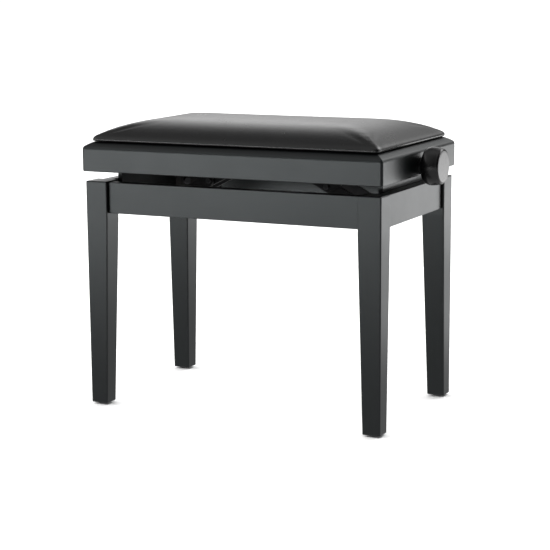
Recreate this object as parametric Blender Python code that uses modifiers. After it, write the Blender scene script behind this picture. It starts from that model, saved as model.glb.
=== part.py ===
"""Height adjustable piano bench: leg frame, scissor lift with a two-way spindle, and an upholstered top.

World frame: metres, +X towards the knob end, +Y towards the back, +Z up. The parts are drawn about the
middle of the seat and moved together at the end, so the origin lies on the floor under the middle of the
whole length.
"""

import math

import bmesh
import bpy
from mathutils import Matrix, Vector

MM = 0.001
GAP = 0.3 * MM

# ---- driving dimensions ----------------------------------------------------------------------------------

SEAT_LENGTH = 555.0 * MM
SEAT_DEPTH = 330.0 * MM
STAND_LENGTH = 547.4 * MM
STAND_DEPTH = 322.0 * MM
STAND_TOP = 393.5 * MM
LIFT_GAP = 16.5 * MM

GLIDE_HEIGHT = 2.6 * MM
GLIDE_RADIUS = 10.0 * MM

LEG_X = 41.0 * MM
LEG_Y = 39.0 * MM
LEG_STRAIGHT = 67.0 * MM
LEG_FOOT_X = 31.6 * MM
LEG_FOOT_Y = 29.0 * MM
LEG_OUTER_LEAN = 0.5 * MM
LEG_ARRIS = 2.0 * MM

APRON_HEIGHT = 53.2 * MM
APRON_THICK = 18.0 * MM
APRON_DROP = 1.7 * MM
FRONT_RECESS = 6.6 * MM
END_RECESS = 4.7 * MM

BLOCK_LEG = 40.0 * MM
BLOCK_HEIGHT = 34.0 * MM
BOLT_RADIUS = 4.0 * MM

RAIL_SIDE_HEIGHT = 37.5 * MM
RAIL_HEIGHT = 50.5 * MM
RAIL_EDGE_RADIUS = 7.0 * MM
RAIL_SHOULDER = 17.0 * MM
RAIL_THICK = 22.0 * MM
RAIL_LIP = 41.0 * MM
RAIL_LIP_THICK = 9.0 * MM
RAIL_CORNER = 4.0 * MM
SEAT_BOARD_THICK = 8.0 * MM
PAD_BOARD_THICK = 8.0 * MM

END_BOARD_THICK = 8.0 * MM
END_BOARD_PLAY = 1.8 * MM
END_BOARD_BOTTOM = 352.0 * MM

CUSHION_INSET = 14.0 * MM
CUSHION_LIFT = 2.2 * MM
CUSHION_CROWN = 35.0 * MM

LIFT_CENTRE = 10.0 * MM
LIFT_X = 190.0 * MM
LIFT_Z = 349.0 * MM
NUT_X = 34.0 * MM
SPINDLE_Z = 426.8 * MM
SPINDLE_RADIUS = 7.0 * MM
ARM_WIDTH = 20.0 * MM
ARM_INNER_Y = 26.0 * MM
ARM_THICK = 4.0 * MM
LINK_WIDTH = 18.0 * MM
LINK_INNER_Y = 31.0 * MM
LINK_THICK = 4.0 * MM
PIN_RADIUS = 4.0 * MM
MID_PIN_RADIUS = 3.0 * MM
MID_PIN_CLEARANCE = 2.2 * MM
SLOT_BACK = 4.5 * MM
SLOT_AHEAD = 6.0 * MM
STEEL = 3.0 * MM

KNOB_RADIUS = 32.0 * MM
KNOB_FACE_RADIUS = 29.5 * MM
KNOB_FACE_ROUND = 4.0 * MM
KNOB_START = 9.0 * MM
KNOB_END = 40.5 * MM

# ---- positions that follow from them -----------------------------------------------------------------------

HALF_X = STAND_LENGTH / 2
HALF_Y = STAND_DEPTH / 2
SEAT_X = SEAT_LENGTH / 2
SEAT_Y = SEAT_DEPTH / 2
SEAT_BOTTOM = STAND_TOP + LIFT_GAP
SEAT_TOP = SEAT_BOTTOM + RAIL_HEIGHT
APRON_TOP = STAND_TOP - APRON_DROP
APRON_BOTTOM = APRON_TOP - APRON_HEIGHT
APRON_IN_X = HALF_X - END_RECESS - APRON_THICK
APRON_IN_Y = HALF_Y - FRONT_RECESS - APRON_THICK
LIP_BOTTOM = SEAT_TOP - RAIL_LIP_THICK
SEAT_BOARD_TOP = LIP_BOTTOM - GAP
SEAT_BOARD_BOTTOM = SEAT_BOARD_TOP - SEAT_BOARD_THICK
CUSHION_BOTTOM = SEAT_TOP + CUSHION_LIFT
ARM_LENGTH = math.hypot(LIFT_X - NUT_X, SPINDLE_Z - LIFT_Z)
ARM_ANGLE = math.atan2(SPINDLE_Z - LIFT_Z, LIFT_X - NUT_X)
LIFT_RAIL_BOTTOM = APRON_BOTTOM + 0.7 * MM
LIFT_RAIL_TOP = LIFT_RAIL_BOTTOM + STEEL

SIDES = {"left": -1, "right": 1}
DEPTHS = {"front": -1, "rear": 1}
UP = Vector((0, 0, 1))
ALONG_X = Vector((1, 0, 0))
ALONG_Y = Vector((0, 1, 0))

# ---- scene and materials -----------------------------------------------------------------------------------


def clear_scene():
    """Remove every object and leave an empty scene."""
    for old in list(bpy.data.objects):
        bpy.data.objects.remove(old, do_unlink=True)


def new_collection(name):
    """Make a collection under the scene and return it."""
    group = bpy.data.collections.new(name)
    bpy.context.scene.collection.children.link(group)
    return group


def principled(name, colour, roughness, metallic=0.0):
    """One plain material."""
    mat = bpy.data.materials.new(name)
    mat.use_nodes = True
    shader = mat.node_tree.nodes["Principled BSDF"]
    shader.inputs["Base Color"].default_value = (*colour, 1.0)
    shader.inputs["Roughness"].default_value = roughness
    shader.inputs["Metallic"].default_value = metallic
    mat.diffuse_color = (*colour, 1.0)
    return mat


clear_scene()
BENCH = new_collection("piano_bench")
CUTTERS = new_collection("cutters")

LACQUER = principled("satin_lacquer", (0.028, 0.029, 0.030), 0.42)
PLYWOOD = principled("plywood", (0.42, 0.30, 0.18), 0.65)
HARDWOOD = principled("bare_hardwood", (0.46, 0.33, 0.20), 0.6)
LEATHERETTE = principled("leatherette", (0.018, 0.018, 0.019), 0.34)
BLACK_STEEL = principled("black_steel", (0.035, 0.036, 0.038), 0.4, 0.6)
ZINC = principled("zinc_steel", (0.62, 0.63, 0.64), 0.35, 1.0)
KNOB_BLACK = principled("knob_plastic", (0.014, 0.014, 0.015), 0.16)
GLIDE_PLASTIC = principled("glide_plastic", (0.06, 0.06, 0.06), 0.6)

# ---- building helpers --------------------------------------------------------------------------------------


def finish_mesh(name, shape, material, origin, smooth, group):
    """Turn a bmesh in world coordinates into a named object whose origin is at the given point."""
    bmesh.ops.remove_doubles(shape, verts=shape.verts, dist=0.00001)
    bmesh.ops.recalc_face_normals(shape, faces=shape.faces)
    bmesh.ops.translate(shape, verts=shape.verts, vec=-Vector(origin))
    mesh = bpy.data.meshes.new(name)
    shape.to_mesh(mesh)
    shape.free()
    for face in mesh.polygons:
        face.use_smooth = smooth
    thing = bpy.data.objects.new(name, mesh)
    thing.location = origin
    if material:
        mesh.materials.append(material)
    group.objects.link(thing)
    return thing


def box(name, low, high, material, bevel=0.0, origin=None, group=None):
    """An axis aligned block between two corners, with optional rounded arrises."""
    low = Vector(low)
    high = Vector(high)
    middle = (low + high) / 2
    shape = bmesh.new()
    size = high - low
    bmesh.ops.create_cube(shape, size=1.0, matrix=Matrix.Translation(middle) @ Matrix.Diagonal((*size, 1.0)))
    thing = finish_mesh(name, shape, material, origin or middle, False, group or BENCH)
    if bevel:
        add_bevel(thing, bevel)
    return thing


def add_bevel(thing, width, segments=2, angle=30.0):
    """Round the sharp edges of an object."""
    bevel = thing.modifiers.new("arris", "BEVEL")
    bevel.width = width
    bevel.segments = segments
    bevel.limit_method = "ANGLE"
    bevel.angle_limit = math.radians(angle)
    return bevel


def prism(name, outline, start, end, axis, material, origin=None, bevel=0.0, group=None):
    """Extrude a closed outline of (a, b) points along 'X', 'Y' or 'Z' from start to end."""
    place = {
        "X": lambda a, b, c: (c, a, b),
        "Y": lambda a, b, c: (a, c, b),
        "Z": lambda a, b, c: (a, b, c),
    }[axis]
    shape = bmesh.new()
    rings = [[shape.verts.new(place(a, b, level)) for a, b in outline] for level in (start, end)]
    count = len(outline)
    for i in range(count):
        j = (i + 1) % count
        shape.faces.new((rings[0][i], rings[0][j], rings[1][j], rings[1][i]))
    shape.faces.new(rings[0][::-1])
    shape.faces.new(rings[1])
    centre = sum((v.co for v in shape.verts), Vector()) / len(shape.verts)
    thing = finish_mesh(name, shape, material, origin or centre, False, group or BENCH)
    if bevel:
        add_bevel(thing, bevel, 1)
    return thing


def turned(name, profile, base, direction, material, sides=40, origin=None, group=None):
    """Revolve (distance, radius) points about a line that starts at base and runs along direction."""
    along = Vector(direction).normalized()
    across = along.orthogonal().normalized()
    third = along.cross(across)
    shape = bmesh.new()
    rings = []
    for distance, radius in profile:
        ring = []
        for i in range(sides):
            turn = 2 * math.pi * i / sides
            offset = across * math.cos(turn) + third * math.sin(turn)
            ring.append(shape.verts.new(Vector(base) + along * distance + offset * radius))
        rings.append(ring)
    for first, second in zip(rings, rings[1:]):
        for i in range(sides):
            j = (i + 1) % sides
            shape.faces.new((first[i], first[j], second[j], second[i]))
    shape.faces.new(rings[0][::-1])
    shape.faces.new(rings[-1])
    thing = finish_mesh(name, shape, material, origin or Vector(base), True, group or BENCH)
    mark_sharp(thing)
    return thing


def mark_sharp(thing, angle=40.0):
    """Keep edges steeper than the angle crisp while the rest is shaded smooth."""
    shape = bmesh.new()
    shape.from_mesh(thing.data)
    for edge in shape.edges:
        if len(edge.link_faces) == 2 and edge.calc_face_angle() > math.radians(angle):
            edge.smooth = False
    shape.to_mesh(thing.data)
    shape.free()


def cylinder(name, base, direction, length, radius, material, sides=32, group=None):
    """A plain round bar."""
    return turned(name, [(0, radius), (length, radius)], base, direction, material, sides, None, group)


def cut(target, cutter):
    """Subtract a cutter, which stays in the hidden collection."""
    cutter.hide_render = True
    cutter.display_type = "WIRE"
    step = target.modifiers.new("cut", "BOOLEAN")
    step.operation = "DIFFERENCE"
    step.solver = "EXACT"
    step.object = cutter


def join(target, extra):
    """Fuse another solid into the target."""
    extra.hide_render = True
    extra.display_type = "WIRE"
    step = target.modifiers.new("join", "BOOLEAN")
    step.operation = "UNION"
    step.solver = "EXACT"
    step.object = extra


def ordered(first, second):
    """Two corners sorted so the first is the lower one on every axis."""
    low = [min(a, b) for a, b in zip(first, second)]
    high = [max(a, b) for a, b in zip(first, second)]
    return low, high


def join_box(target, first, second):
    """Fuse a block into the target."""
    low, high = ordered(first, second)
    join(target, box(target.name + "_tab", low, high, None, 0.0, None, CUTTERS))


def cut_box(target, first, second):
    """Cut a block out of the target."""
    low, high = ordered(first, second)
    cut(target, box(target.name + "_window", low, high, None, 0.0, None, CUTTERS))


def bore(target, base, direction, length, radius, sides=18):
    """Drill a round hole that starts at base and runs along direction. Its flats keep clear of the radius."""
    flats_clear = radius / math.cos(math.pi / sides)
    cut(target, cylinder(target.name + "_bore", base, direction, length, flats_clear, None, sides, CUTTERS))


def stadium(start, end, radius, steps=8):
    """Outline of a bar with round ends between two (a, b) points."""
    start = Vector(start)
    end = Vector(end)
    heading = math.atan2(end.y - start.y, end.x - start.x)
    outline = []
    for centre, first in ((end, heading - math.pi / 2), (start, heading + math.pi / 2)):
        for i in range(steps + 1):
            turn = first + math.pi * i / steps
            outline.append((centre.x + radius * math.cos(turn), centre.y + radius * math.sin(turn)))
    return outline


# ---- leg frame ---------------------------------------------------------------------------------------------


def leg(side_name, depth_name):
    """A square leg, straight beside the aprons and tapered below them."""
    side = SIDES[side_name]
    depth = DEPTHS[depth_name]
    taper_start = STAND_TOP - LEG_STRAIGHT
    levels = (
        (GLIDE_HEIGHT + GAP, LEG_OUTER_LEAN, LEG_FOOT_X, 0.0, LEG_FOOT_Y),
        (taper_start, 0.0, LEG_X, 0.0, LEG_Y),
        (STAND_TOP, 0.0, LEG_X, 0.0, LEG_Y),
    )
    shape = bmesh.new()
    rings = []
    for height, lean_x, width, lean_y, deep in levels:
        outer_x = side * (HALF_X - lean_x)
        inner_x = outer_x - side * width
        outer_y = depth * (HALF_Y - lean_y)
        inner_y = outer_y - depth * deep
        corners = ((outer_x, outer_y), (inner_x, outer_y), (inner_x, inner_y), (outer_x, inner_y))
        rings.append([shape.verts.new((x, y, height)) for x, y in corners])
    for low, high in zip(rings, rings[1:]):
        for i in range(4):
            shape.faces.new((low[i], low[(i + 1) % 4], high[(i + 1) % 4], high[i]))
    shape.faces.new(rings[0])
    shape.faces.new(rings[-1])
    foot = (side * (HALF_X - LEG_FOOT_X / 2), depth * (HALF_Y - LEG_FOOT_Y / 2), GLIDE_HEIGHT)
    thing = finish_mesh("leg_%s_%s" % (depth_name, side_name), shape, LACQUER, foot, False, BENCH)
    add_bevel(thing, LEG_ARRIS, 3, 60.0)
    return thing


def glide(side_name, depth_name):
    """A low round glide under one leg."""
    x = SIDES[side_name] * (HALF_X - LEG_OUTER_LEAN - LEG_FOOT_X / 2)
    y = DEPTHS[depth_name] * (HALF_Y - LEG_FOOT_Y / 2)
    profile = [
        (0, GLIDE_RADIUS - 1.2 * MM),
        (0.8 * MM, GLIDE_RADIUS - 0.2 * MM),
        (1.6 * MM, GLIDE_RADIUS),
        (GLIDE_HEIGHT, GLIDE_RADIUS),
    ]
    turned("glide_%s_%s" % (depth_name, side_name), profile, (x, y, 0), UP, GLIDE_PLASTIC, 24)


def apron(name, low, high):
    """One apron board with lightly eased edges."""
    box(name, low, high, LACQUER, 1.0 * MM)


def aprons():
    """The four boards between the legs."""
    long_end = HALF_X - LEG_X - GAP
    short_end = HALF_Y - LEG_Y - GAP
    for name, depth in DEPTHS.items():
        outer = depth * (HALF_Y - FRONT_RECESS)
        inner = depth * APRON_IN_Y
        low = (-long_end, min(outer, inner), APRON_BOTTOM)
        high = (long_end, max(outer, inner), APRON_TOP)
        apron("apron_" + name, low, high)
    for name, side in SIDES.items():
        outer = side * (HALF_X - END_RECESS)
        inner = side * APRON_IN_X
        low = (min(outer, inner), -short_end, APRON_BOTTOM)
        high = (max(outer, inner), short_end, APRON_TOP)
        apron("apron_" + name, low, high)


def corner_block(side_name, depth_name):
    """A glue block in one corner of the leg frame, notched round the leg, and the bolt that holds it."""
    side = SIDES[side_name]
    depth = DEPTHS[depth_name]
    corner_x = APRON_IN_X - GAP
    corner_y = APRON_IN_Y - GAP
    notch_x = HALF_X - LEG_X - GAP
    notch_y = HALF_Y - LEG_Y - GAP
    plan = [
        (notch_x, corner_y),
        (corner_x - BLOCK_LEG, corner_y),
        (corner_x, corner_y - BLOCK_LEG),
        (corner_x, notch_y),
        (notch_x, notch_y),
    ]
    outline = [(side * x, depth * y) for x, y in plan]
    bottom = APRON_BOTTOM + (APRON_HEIGHT - BLOCK_HEIGHT) / 2
    label = "%s_%s" % (depth_name, side_name)
    block = prism("corner_block_" + label, outline, bottom, bottom + BLOCK_HEIGHT, "Z", HARDWOOD)
    face_x = side * (corner_x - BLOCK_LEG / 2)
    face_y = depth * (corner_y - BLOCK_LEG / 2)
    face = Vector((face_x, face_y, bottom + BLOCK_HEIGHT / 2))
    inward = Vector((side, depth, 0)).normalized()
    bolt_length = 34.0 * MM
    mouth = face - inward * MM
    for wood in (block, bpy.data.objects["leg_" + label]):
        bore(wood, mouth, inward, bolt_length + 2 * MM, BOLT_RADIUS + GAP)
    leg_bolt("leg_bolt_" + label, face, inward, bolt_length)


def leg_bolt(name, face, inward, length):
    """A bolt with a flat washer face and a six sided head that stands on the block."""
    head = 6.5 * MM
    profile = [
        (-GAP - 1.5 * MM - head, 5.6 * MM),
        (-GAP - 1.5 * MM - head + 0.8 * MM, 6.5 * MM),
        (-GAP - 1.5 * MM, 6.5 * MM),
        (-GAP - 1.5 * MM, 8.5 * MM),
        (-GAP, 8.5 * MM),
        (-GAP, BOLT_RADIUS),
        (length - 2 * MM, BOLT_RADIUS),
        (length - MM, BOLT_RADIUS - MM),
    ]
    turned(name, profile, face, inward, ZINC, 12)


# ---- lift mechanism ----------------------------------------------------------------------------------------


def lift_rail(side_name):
    """The cross rail that ties front to rear apron and carries the lower arm pivot between two lugs."""
    middle = LIFT_CENTRE + SIDES[side_name] * LIFT_X
    half_width = 16.0 * MM
    half_length = APRON_IN_Y - GAP
    rail = box(
        "lift_rail_" + side_name,
        (middle - half_width, -half_length, LIFT_RAIL_BOTTOM),
        (middle + half_width, half_length, LIFT_RAIL_TOP),
        BLACK_STEEL,
    )
    lug_start = ARM_INNER_Y + ARM_THICK + 1.5 * MM
    for depth_name, depth in DEPTHS.items():
        join_lug(rail, middle, LIFT_Z, LIFT_RAIL_BOTTOM, depth * lug_start, depth * (lug_start + STEEL))
        arm_window(rail, middle, depth)
        upturned_end(rail, middle, half_length, side_name, depth_name)
    pin_end = lug_start + STEEL + 3.0 * MM
    bore(rail, (middle, -pin_end - MM, LIFT_Z), ALONG_Y, 2 * pin_end + 2 * MM, PIN_RADIUS + GAP)
    pivot_pin("lift_pin_" + side_name, middle, LIFT_Z, pin_end, PIN_RADIUS)


def arm_window(rail, middle, depth):
    """The opening in a lift rail that lets the lower end of one arm swing."""
    half_x = ARM_WIDTH / 2 + 2.5 * MM
    start_y = ARM_INNER_Y - 1.5 * MM
    end_y = ARM_INNER_Y + ARM_THICK + 1.2 * MM
    cut_box(
        rail,
        (middle - half_x, depth * start_y, LIFT_RAIL_BOTTOM - 5 * MM),
        (middle + half_x, depth * end_y, LIFT_RAIL_TOP + MM),
    )


def upturned_end(rail, middle, half_length, side_name, depth_name):
    """One upturned end of a lift rail, screwed to the inside of an apron."""
    depth = DEPTHS[depth_name]
    half_x = 10.0 * MM
    top = LIFT_RAIL_BOTTOM + 28.0 * MM
    outer = depth * half_length
    inner = depth * (half_length - STEEL)
    join_box(rail, (middle - half_x, outer, LIFT_RAIL_BOTTOM), (middle + half_x, inner, top))
    surface = Vector((middle, inner, LIFT_RAIL_BOTTOM + 17.0 * MM))
    screw_name = "rail_screw_%s_%s" % (depth_name, side_name)
    wood_screw(screw_name, surface, Vector((0, depth, 0)), rail, "apron_" + depth_name)


def join_lug(target, middle, pivot_z, foot_z, first_y, second_y):
    """Fuse an upright or hanging lug with a round end about the pivot into the target."""
    radius = 10.5 * MM
    rises = 1 if pivot_z > foot_z else -1
    outline = [(middle - radius, foot_z), (middle + radius, foot_z)]
    steps = 8
    for i in range(steps + 1):
        turn = math.pi * i / steps
        outline.append((middle + radius * math.cos(turn), pivot_z + rises * radius * math.sin(turn)))
    low, high = sorted((first_y, second_y))
    join(target, prism(target.name + "_lug", outline, low, high, "Y", None, None, 0.0, CUTTERS))


def pivot_pin(name, x, z, half_length, radius):
    """A headed pin that lies across the bench."""
    head = radius + 2.0 * MM
    thick = 2.0 * MM
    profile = [
        (-half_length, head - 0.6 * MM),
        (-half_length + 0.6 * MM, head),
        (-half_length + thick, head),
        (-half_length + thick, radius),
        (half_length - thick, radius),
        (half_length - thick, head),
        (half_length - 0.6 * MM, head),
        (half_length, head - 0.6 * MM),
    ]
    turned(name, profile, (x, 0, z), ALONG_Y, ZINC, 16)


def wood_screw(name, surface, direction, plate, wood_name, length=14.0 * MM):
    """A pan head screw through a plate into wood, with its own holes."""
    shank = 2.0 * MM
    into = Vector(direction).normalized()
    profile = [
        (-GAP - 2.2 * MM, 2.2 * MM),
        (-GAP - 1.6 * MM, 3.6 * MM),
        (-GAP, 4.0 * MM),
        (-GAP, shank),
        (length - 2 * MM, shank),
        (length, 0.6 * MM),
    ]
    turned(name, profile, surface, into, ZINC, 10)
    bore(plate, surface - into * MM, into, STEEL + 2 * MM, shank + GAP, 10)
    bore(bpy.data.objects[wood_name], surface - into * MM, into, length + 2 * MM, shank + GAP, 10)


def arm(side_name, depth_name):
    """A main scissor arm from the lift rail pivot up to the nut, with a slot for the nut's stud."""
    side = SIDES[side_name]
    depth = DEPTHS[depth_name]
    pivot = Vector((LIFT_CENTRE + side * LIFT_X, LIFT_Z))
    along = Vector((-side * math.cos(ARM_ANGLE), math.sin(ARM_ANGLE)))
    near = depth * ARM_INNER_Y
    far = depth * (ARM_INNER_Y + ARM_THICK)
    low, high = sorted((near, far))
    outline = stadium(pivot, pivot + along * (ARM_LENGTH + SLOT_AHEAD), ARM_WIDTH / 2)
    origin = (pivot.x, (near + far) / 2, pivot.y)
    thing = prism("arm_%s_%s" % (side_name, depth_name), outline, low, high, "Y", BLACK_STEEL, origin)
    start = low - MM
    length = ARM_THICK + 2 * MM
    middle = pivot + along * (ARM_LENGTH / 2)
    bore(thing, (pivot.x, start, pivot.y), ALONG_Y, length, PIN_RADIUS + GAP)
    bore(thing, (middle.x, start, middle.y), ALONG_Y, length, MID_PIN_RADIUS + GAP)
    slot_start = pivot + along * (ARM_LENGTH - SLOT_BACK)
    slot_end = pivot + along * (ARM_LENGTH + SLOT_AHEAD - MM)
    slot = stadium(slot_start, slot_end, PIN_RADIUS + 0.8 * MM)
    cut(thing, prism(thing.name + "_slot", slot, start, start + length, "Y", None, None, 0.0, CUTTERS))


def mid_point(side):
    """Where the short link meets the arm, as (x, z)."""
    reach = ARM_LENGTH / 2
    x = LIFT_CENTRE + side * (LIFT_X - reach * math.cos(ARM_ANGLE))
    return x, LIFT_Z + reach * math.sin(ARM_ANGLE)


def mid_pin(side_name):
    """The pin that joins the two arms of one side at their middle and carries the short links."""
    x, z = mid_point(SIDES[side_name])
    pivot_pin("link_pin_" + side_name, x, z, LINK_INNER_Y + LINK_THICK + 3.0 * MM, MID_PIN_RADIUS)


def link(side_name, depth_name):
    """A short link from the middle of an arm up to the seat rail, half as long as the arm."""
    side = SIDES[side_name]
    depth = DEPTHS[depth_name]
    top = Vector((LIFT_CENTRE + side * LIFT_X, SPINDLE_Z))
    bottom = Vector(mid_point(side))
    near = depth * LINK_INNER_Y
    far = depth * (LINK_INNER_Y + LINK_THICK)
    low, high = sorted((near, far))
    origin = (top.x, (near + far) / 2, top.y)
    outline = stadium(top, bottom, LINK_WIDTH / 2)
    thing = prism("link_%s_%s" % (side_name, depth_name), outline, low, high, "Y", BLACK_STEEL, origin)
    start = low - MM
    length = LINK_THICK + 2 * MM
    bore(thing, (top.x, start, top.y), ALONG_Y, length, PIN_RADIUS + GAP)
    bore(thing, (bottom.x, start, bottom.y), ALONG_Y, length, MID_PIN_RADIUS + MID_PIN_CLEARANCE)


def seat_rail(side_name):
    """The cross rail under the seat board: two hanging lugs with inward studs for the short links."""
    side = SIDES[side_name]
    middle = LIFT_CENTRE + side * LIFT_X
    half_width = 14.0 * MM
    half_length = 100.0 * MM
    top = SEAT_BOARD_BOTTOM - GAP
    rail = box(
        "seat_rail_" + side_name,
        (middle - half_width, -half_length, top - STEEL),
        (middle + half_width, half_length, top),
        BLACK_STEEL,
    )
    lug_low = LINK_INNER_Y + LINK_THICK + 1.0 * MM
    for depth_name, depth in DEPTHS.items():
        join_lug(rail, middle, SPINDLE_Z, top - STEEL / 2, depth * lug_low, depth * (lug_low + STEEL))
        stud_start = depth * (LINK_INNER_Y - 2.0 * MM)
        stud_length = lug_low + STEEL / 2 - LINK_INNER_Y + 2.0 * MM
        stud = cylinder(rail.name + "_stud", (middle, stud_start, SPINDLE_Z), (0, depth, 0), stud_length,
                        PIN_RADIUS, None, 16, CUTTERS)
        join(rail, stud)
        surface = Vector((middle, depth * 82.0 * MM, top - STEEL))
        screw_name = "seat_screw_%s_%s" % (depth_name, side_name)
        wood_screw(screw_name, surface, UP, rail, "seat_board", 7.0 * MM)


def spindle_nut(side_name):
    """The block nut that runs along the spindle, with a stud on each end for the arms."""
    x = LIFT_CENTRE + SIDES[side_name] * NUT_X
    half = 15.0 * MM
    half_y = ARM_INNER_Y - 1.5 * MM
    tall = 13.0 * MM
    nut = box(
        "spindle_nut_" + side_name,
        (x - half, -half_y, SPINDLE_Z - tall),
        (x + half, half_y, SPINDLE_Z + tall),
        ZINC,
    )
    reach = ARM_INNER_Y + ARM_THICK + 3.0 * MM
    for depth in DEPTHS.values():
        stud = cylinder(nut.name + "_stud", (x, depth * (half_y - 3 * MM), SPINDLE_Z), (0, depth, 0),
                        reach - half_y + 3 * MM, PIN_RADIUS, None, 16, CUTTERS)
        join(nut, stud)
    bore(nut, (x - half - MM, 0, SPINDLE_Z), ALONG_X, 2 * half + 2 * MM, SPINDLE_RADIUS + GAP, 24)


def spindle_bracket(side_name):
    """An angle bracket under the seat board that holds one part of the spindle."""
    side = SIDES[side_name]
    inner = LIFT_CENTRE + side * 112.0 * MM
    foot_end = LIFT_CENTRE + side * 134.0 * MM
    half_y = 21.0 * MM
    top = SEAT_BOARD_BOTTOM - GAP
    low, high = ordered((inner, -half_y, SPINDLE_Z - 13.0 * MM), (inner + side * STEEL, half_y, top))
    bracket = box("spindle_bracket_" + side_name, low, high, BLACK_STEEL)
    join_box(bracket, (inner, -half_y, top - STEEL), (foot_end, half_y, top))
    bore(bracket, (inner - side * MM, 0, SPINDLE_Z), (side, 0, 0), STEEL + 2 * MM, SPINDLE_RADIUS + GAP, 24)


def spindle():
    """The long two-way spindle that carries both nuts and ends inside the knob."""
    start = LIFT_CENTRE - 122.0 * MM
    end = SEAT_X + KNOB_END - 12.0 * MM
    length = end - start
    collar = SPINDLE_RADIUS + 3.0 * MM
    collar_at = LIFT_CENTRE + 118.0 * MM - start
    profile = [
        (0, SPINDLE_RADIUS - MM),
        (MM, SPINDLE_RADIUS),
        (collar_at, SPINDLE_RADIUS),
        (collar_at, collar),
        (collar_at + 8.0 * MM, collar),
        (collar_at + 8.0 * MM, SPINDLE_RADIUS),
        (length - MM, SPINDLE_RADIUS),
        (length, SPINDLE_RADIUS - MM),
    ]
    turned("spindle", profile, (start, 0, SPINDLE_Z), ALONG_X, ZINC, 24)


def knob():
    """The round hand knob: a bulged rim, a flat outer face with a round edge, and a blind bore."""
    thick = KNOB_END - KNOB_START
    widest = 12.0 * MM
    round_over = 8.0 * MM
    sag = KNOB_RADIUS - KNOB_FACE_RADIUS
    bulge = [(0, 15.0 * MM), (0, KNOB_RADIUS - round_over)]
    steps = 8
    for i in range(1, steps + 1):
        turn = math.pi / 2 * i / steps
        radius = KNOB_RADIUS - round_over * (1 - math.sin(turn))
        bulge.append((widest * (1 - math.cos(turn)), radius))
    front = thick - KNOB_FACE_ROUND
    slope_steps = 4
    for i in range(1, slope_steps + 1):
        part = i / slope_steps
        bulge.append((widest + (front - widest) * part, KNOB_RADIUS - sag * part * part))
    edge_steps = 6
    for i in range(1, edge_steps + 1):
        turn = math.pi / 2 * i / edge_steps
        radius = KNOB_FACE_RADIUS - KNOB_FACE_ROUND * (1 - math.cos(turn))
        bulge.append((front + KNOB_FACE_ROUND * math.sin(turn), radius))
    base = (SEAT_X + KNOB_START, 0, SPINDLE_Z)
    body = turned("knob", bulge, base, ALONG_X, KNOB_BLACK, 48)
    bore(body, (SEAT_X + KNOB_START - MM, 0, SPINDLE_Z), ALONG_X, thick - 10.0 * MM, SPINDLE_RADIUS + GAP, 24)


def spindle_bush():
    """The flanged bush in the end rail that guides the spindle."""
    flange = 14.5 * MM
    sleeve = 10.0 * MM
    outside = KNOB_START - 2.0 * MM
    profile = [
        (0, flange - 1.0 * MM),
        (1.0 * MM, flange),
        (outside, flange),
        (outside, sleeve),
        (outside + RAIL_THICK - 2.0 * MM, sleeve),
    ]
    base = (SEAT_X + GAP + outside, 0, SPINDLE_Z)
    bush = turned("spindle_bush", profile, base, (-1, 0, 0), KNOB_BLACK, 32)
    length = outside + RAIL_THICK + 4 * MM
    bore(bush, (SEAT_X - RAIL_THICK - MM, 0, SPINDLE_Z), ALONG_X, length + 10 * MM, SPINDLE_RADIUS + GAP, 24)
    bore(bpy.data.objects["top_rail_right"], (SEAT_X - RAIL_THICK - 5 * MM, 0, SPINDLE_Z), ALONG_X,
         RAIL_THICK + 10 * MM, sleeve + GAP, 24)


# ---- upholstered top ---------------------------------------------------------------------------------------


def rail_section():
    """Cross section of a top rail as (distance in from the outer face, height) points."""
    arris = 1.2 * MM
    section = [(arris, SEAT_BOTTOM), (0.0, SEAT_BOTTOM + arris)]
    shoulder_start = SEAT_BOTTOM + RAIL_SIDE_HEIGHT
    steps = 6
    for i in range(steps + 1):
        turn = math.radians(60.0) * i / steps
        inset = RAIL_EDGE_RADIUS * (1 - math.cos(turn))
        section.append((inset, shoulder_start + RAIL_EDGE_RADIUS * math.sin(turn)))
    edge_inset, edge_height = section[-1]
    slope_steps = 4
    for i in range(1, slope_steps + 1):
        part = i / slope_steps
        inset = edge_inset + (RAIL_SHOULDER - edge_inset) * part
        section.append((inset, edge_height + (SEAT_TOP - edge_height) * (1 - (1 - part) ** 1.25)))
    section.append((RAIL_LIP, SEAT_TOP))
    section.append((RAIL_LIP, LIP_BOTTOM))
    section.append((RAIL_THICK, LIP_BOTTOM))
    section.append((RAIL_THICK, SEAT_BOTTOM))
    return section


def rail_path(inset, half_long, half_short):
    """Points of one rail from mitre to mitre at a given inset, for the rail on the +b side."""
    radius = max(RAIL_CORNER - inset, 0.0)
    back_off = max(RAIL_CORNER, inset)
    steps = 4
    points = []
    for i in range(steps + 1):
        turn = math.pi / 4 + math.pi / 4 * i / steps
        a = half_long - back_off + radius * math.cos(turn)
        b = half_short - back_off + radius * math.sin(turn)
        points.append((a, b))
    mirrored = [(-a, b) for a, b in reversed(points)]
    return points + mirrored


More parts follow.
